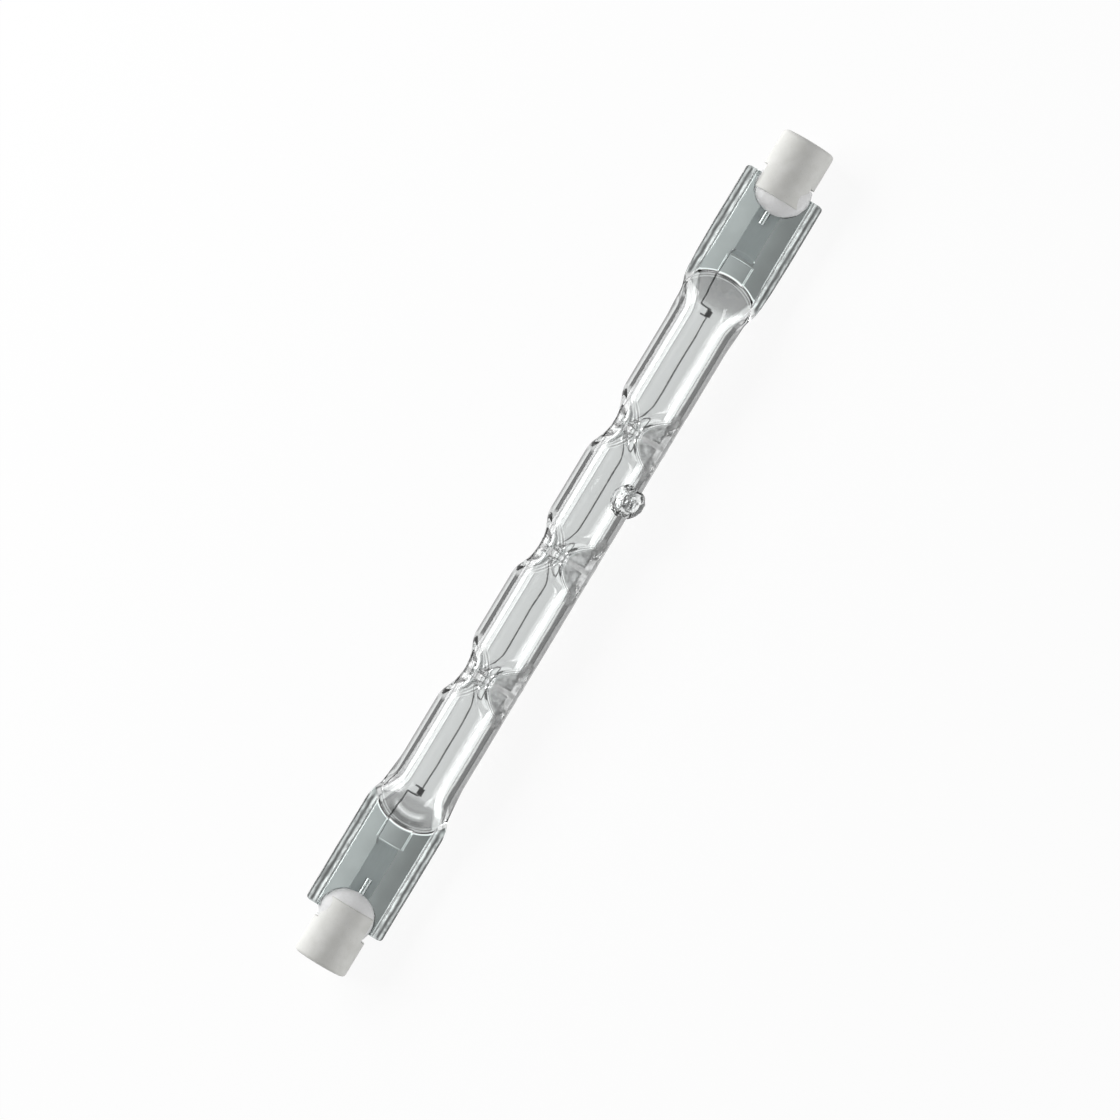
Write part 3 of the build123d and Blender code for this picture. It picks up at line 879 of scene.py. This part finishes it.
# Cap cement
# White cement that was packed into the cap's slot round the seal's end. It swelled out as a low
# dome on each face of the web before it was baked hard.
cement = Finish("cap cement", Roughness=0.7, Subsurface_Weight=0.3, Subsurface_Scale=0.0022)
cement.shader.inputs["Subsurface Radius"].default_value = (1.0, 1.0, 1.0)
grit = cement.noise(3.0, 5.0)
cement.feed(Base_Color=cement.mix(grit.ramp(0.35, 0.65), (0.95, 0.95, 0.955), (0.99, 0.99, 0.995)),
            Normal=cement.bump(grit, 0.05))
MOUND_X = 52.0
MOUND_REACH, MOUND_HALF, MOUND_RISE = 3.5, 3.95, 3.05
MOUND_END = 53.6
MOUND_LUMPS = 0.14
GLASS_FACE = 1.15
for side, end in ENDS.items():
    deselect()
    bpy.ops.mesh.primitive_uv_sphere_add(segments=96, ring_count=64, radius=1)
    mound = bpy.context.object
    for vertex in mound.data.vertices:
        p = vertex.co
        q = Vector((MOUND_X + MOUND_REACH * p.z, MOUND_HALF * p.x, MOUND_RISE * p.y))
        # What lies inside the web is drawn in a little, so that it doesn't meet the glass's own skin
        buried = min(1, max(0, (GLASS_FACE - abs(q.z)) / 0.2))
        q.y *= 1 - 0.1 * buried
        q.x += 0.35 * buried
        lump = noise.noise(q * 0.55 + Vector((side * 3.0, 2, 5))) + 0.4 * noise.noise(q * 1.6)
        q += Vector((p.z, p.x, p.y)) * MOUND_LUMPS * lump
        q.x = min(q.x, MOUND_END)
        vertex.co = q
    mirrored(mound, side)
    cement.put_on(mound)
    lay_to_rest(mound, "cement_dome_" + end["name"], ["cap_cement_" + end["name"]], 50)

# End contacts
# A nickel-plated disc at the bottom of each recess, for the holder's contact to press on. It is in
# one piece with a short tube, which is crimped and welded to the pin.
plated = Finish("plated contact", Metallic=1.0, Roughness=0.3)
wear = plated.noise(1.6, 3.0)
plated.feed(Base_Color=plated.mix(wear, (0.5, 0.49, 0.46), (0.66, 0.65, 0.62)),
            Roughness=wear.ramp(0.3, 0.7, 0.22, 0.42))
DISC_R = 1.98
SHANK_R, SHANK_BORE, SHANK_END = 0.92, 0.63, 54.1
DISC_BACK = 56.32
for side, end in ENDS.items():
    section = [(SHANK_END, SHANK_BORE), (SHANK_END, SHANK_R), (DISC_BACK, SHANK_R), (DISC_BACK, DISC_R),
               (RECESS_FLOOR, DISC_R), (RECESS_FLOOR - 0.1, 1.2), (RECESS_FLOOR - 0.04, 0.0)]
    disc = turned(rounded(section, (0.04, 0.05, 0.05, 0.25, 0.2)), 72)
    mirrored(disc, side)
    disc.data.transform(Matrix.Translation((0, side * CAP_OFFSET, 0)))
    plated.put_on(disc)
    lay_to_rest(disc, "contact_disc_" + end["name"], ["end_contact_" + end["name"]], 35)

# Floor, lights and camera
# A white table under the lamp, a softbox over its back and a strip light low in front. The
# photograph's camera looks square on to the flat seals, with the lamp slanting up the picture.
TABLE_GLOW = 0.93
WORLD_LIGHT = (0.09, 0.09, 0.09)
WORLD_SEEN = (0.9, 0.9, 0.9)
deselect()
bpy.ops.mesh.primitive_circle_add(vertices=96, radius=1.2, fill_type="NGON")
floor = bpy.context.object
floor.name = "table"
paper = Finish("white table", Roughness=0.9, Specular_IOR_Level=0.0)
paper.shader.inputs["Base Color"].default_value = (0.86, 0.86, 0.86, 1)
glow = paper.node("ShaderNodeEmission", {}, {"Color": (1, 1, 1, 1), "Strength": 1.0})
plain = Link(paper, paper.shader.outputs[0])
blend = paper.node("ShaderNodeMixShader", {}, {0: paper.looked_at() * TABLE_GLOW, 1: plain, 2: glow})
paper.tree.links.new(blend.socket, paper.tree.nodes["Material Output"].inputs["Surface"])
paper.put_on(floor)

world = bpy.data.worlds.new("studio")
bpy.context.scene.world = world
world.use_nodes = True
sky = Nodes(world.node_tree)
backdrop = sky.mix(sky.looked_at(), WORLD_LIGHT, WORLD_SEEN)
sky.tree.links.new(backdrop.socket, sky.tree.nodes["Background"].inputs["Color"])

SOFTBOX_AWAY = 0.6


def softbox(name, direction, size, radiance):
    light = bpy.data.lights.new(name, "AREA")
    light.shape = "RECTANGLE"
    light.size, light.size_y = size
    light.energy = radiance * pi * size[0] * size[1]
    obj = bpy.data.objects.new(name, light)
    bpy.context.scene.collection.objects.link(obj)
    away = Vector(direction).normalized()
    obj.location = Vector(AXIS) + away * SOFTBOX_AWAY
    obj.rotation_euler = away.to_track_quat("Z", "X").to_euler()


softbox("back softbox", (0, 0.765, 0.645), size=(0.36, 0.6), radiance=7.1)
softbox("front strip", (0, -0.99, 0.12), size=(0.13, 0.6), radiance=6.3)

# The lamp's slope in the picture, and how far its middle lies from the picture's, in pixels
PHOTO_PX = 1120
PX_PER_MM = 8.127
LAMP_SLANT = radians(58.908)
AIM_LEFT, AIM_DOWN = 4.5, 7.0
VIEW_DISTANCE = 0.8
SENSOR_WIDTH = 36
metres_per_px = 0.001 / PX_PER_MM
toward = Vector((0, -sin(ROLL), cos(ROLL)))
across = Vector((0, -cos(ROLL), -sin(ROLL)))
along = Vector((1, 0, 0))
right = along * cos(LAMP_SLANT) + across * sin(LAMP_SLANT)
up = along * sin(LAMP_SLANT) - across * cos(LAMP_SLANT)
lens = bpy.data.cameras.new("photo camera")
lens.sensor_width = SENSOR_WIDTH
lens.lens = SENSOR_WIDTH * VIEW_DISTANCE / (PHOTO_PX * metres_per_px)
lens.clip_start = 0.01
lens.clip_end = 20
camera = bpy.data.objects.new("photo camera", lens)
bpy.context.scene.collection.objects.link(camera)
aim = Vector(AXIS) - (right * AIM_LEFT + up * AIM_DOWN) * metres_per_px
stand = aim + toward * VIEW_DISTANCE
camera.matrix_world = Matrix((
    (right.x, up.x, toward.x, stand.x), (right.y, up.y, toward.y, stand.y),
    (right.z, up.z, toward.z, stand.z), (0, 0, 0, 1)))
bpy.context.scene.camera = camera
bpy.context.scene.view_settings.view_transform = "Standard"
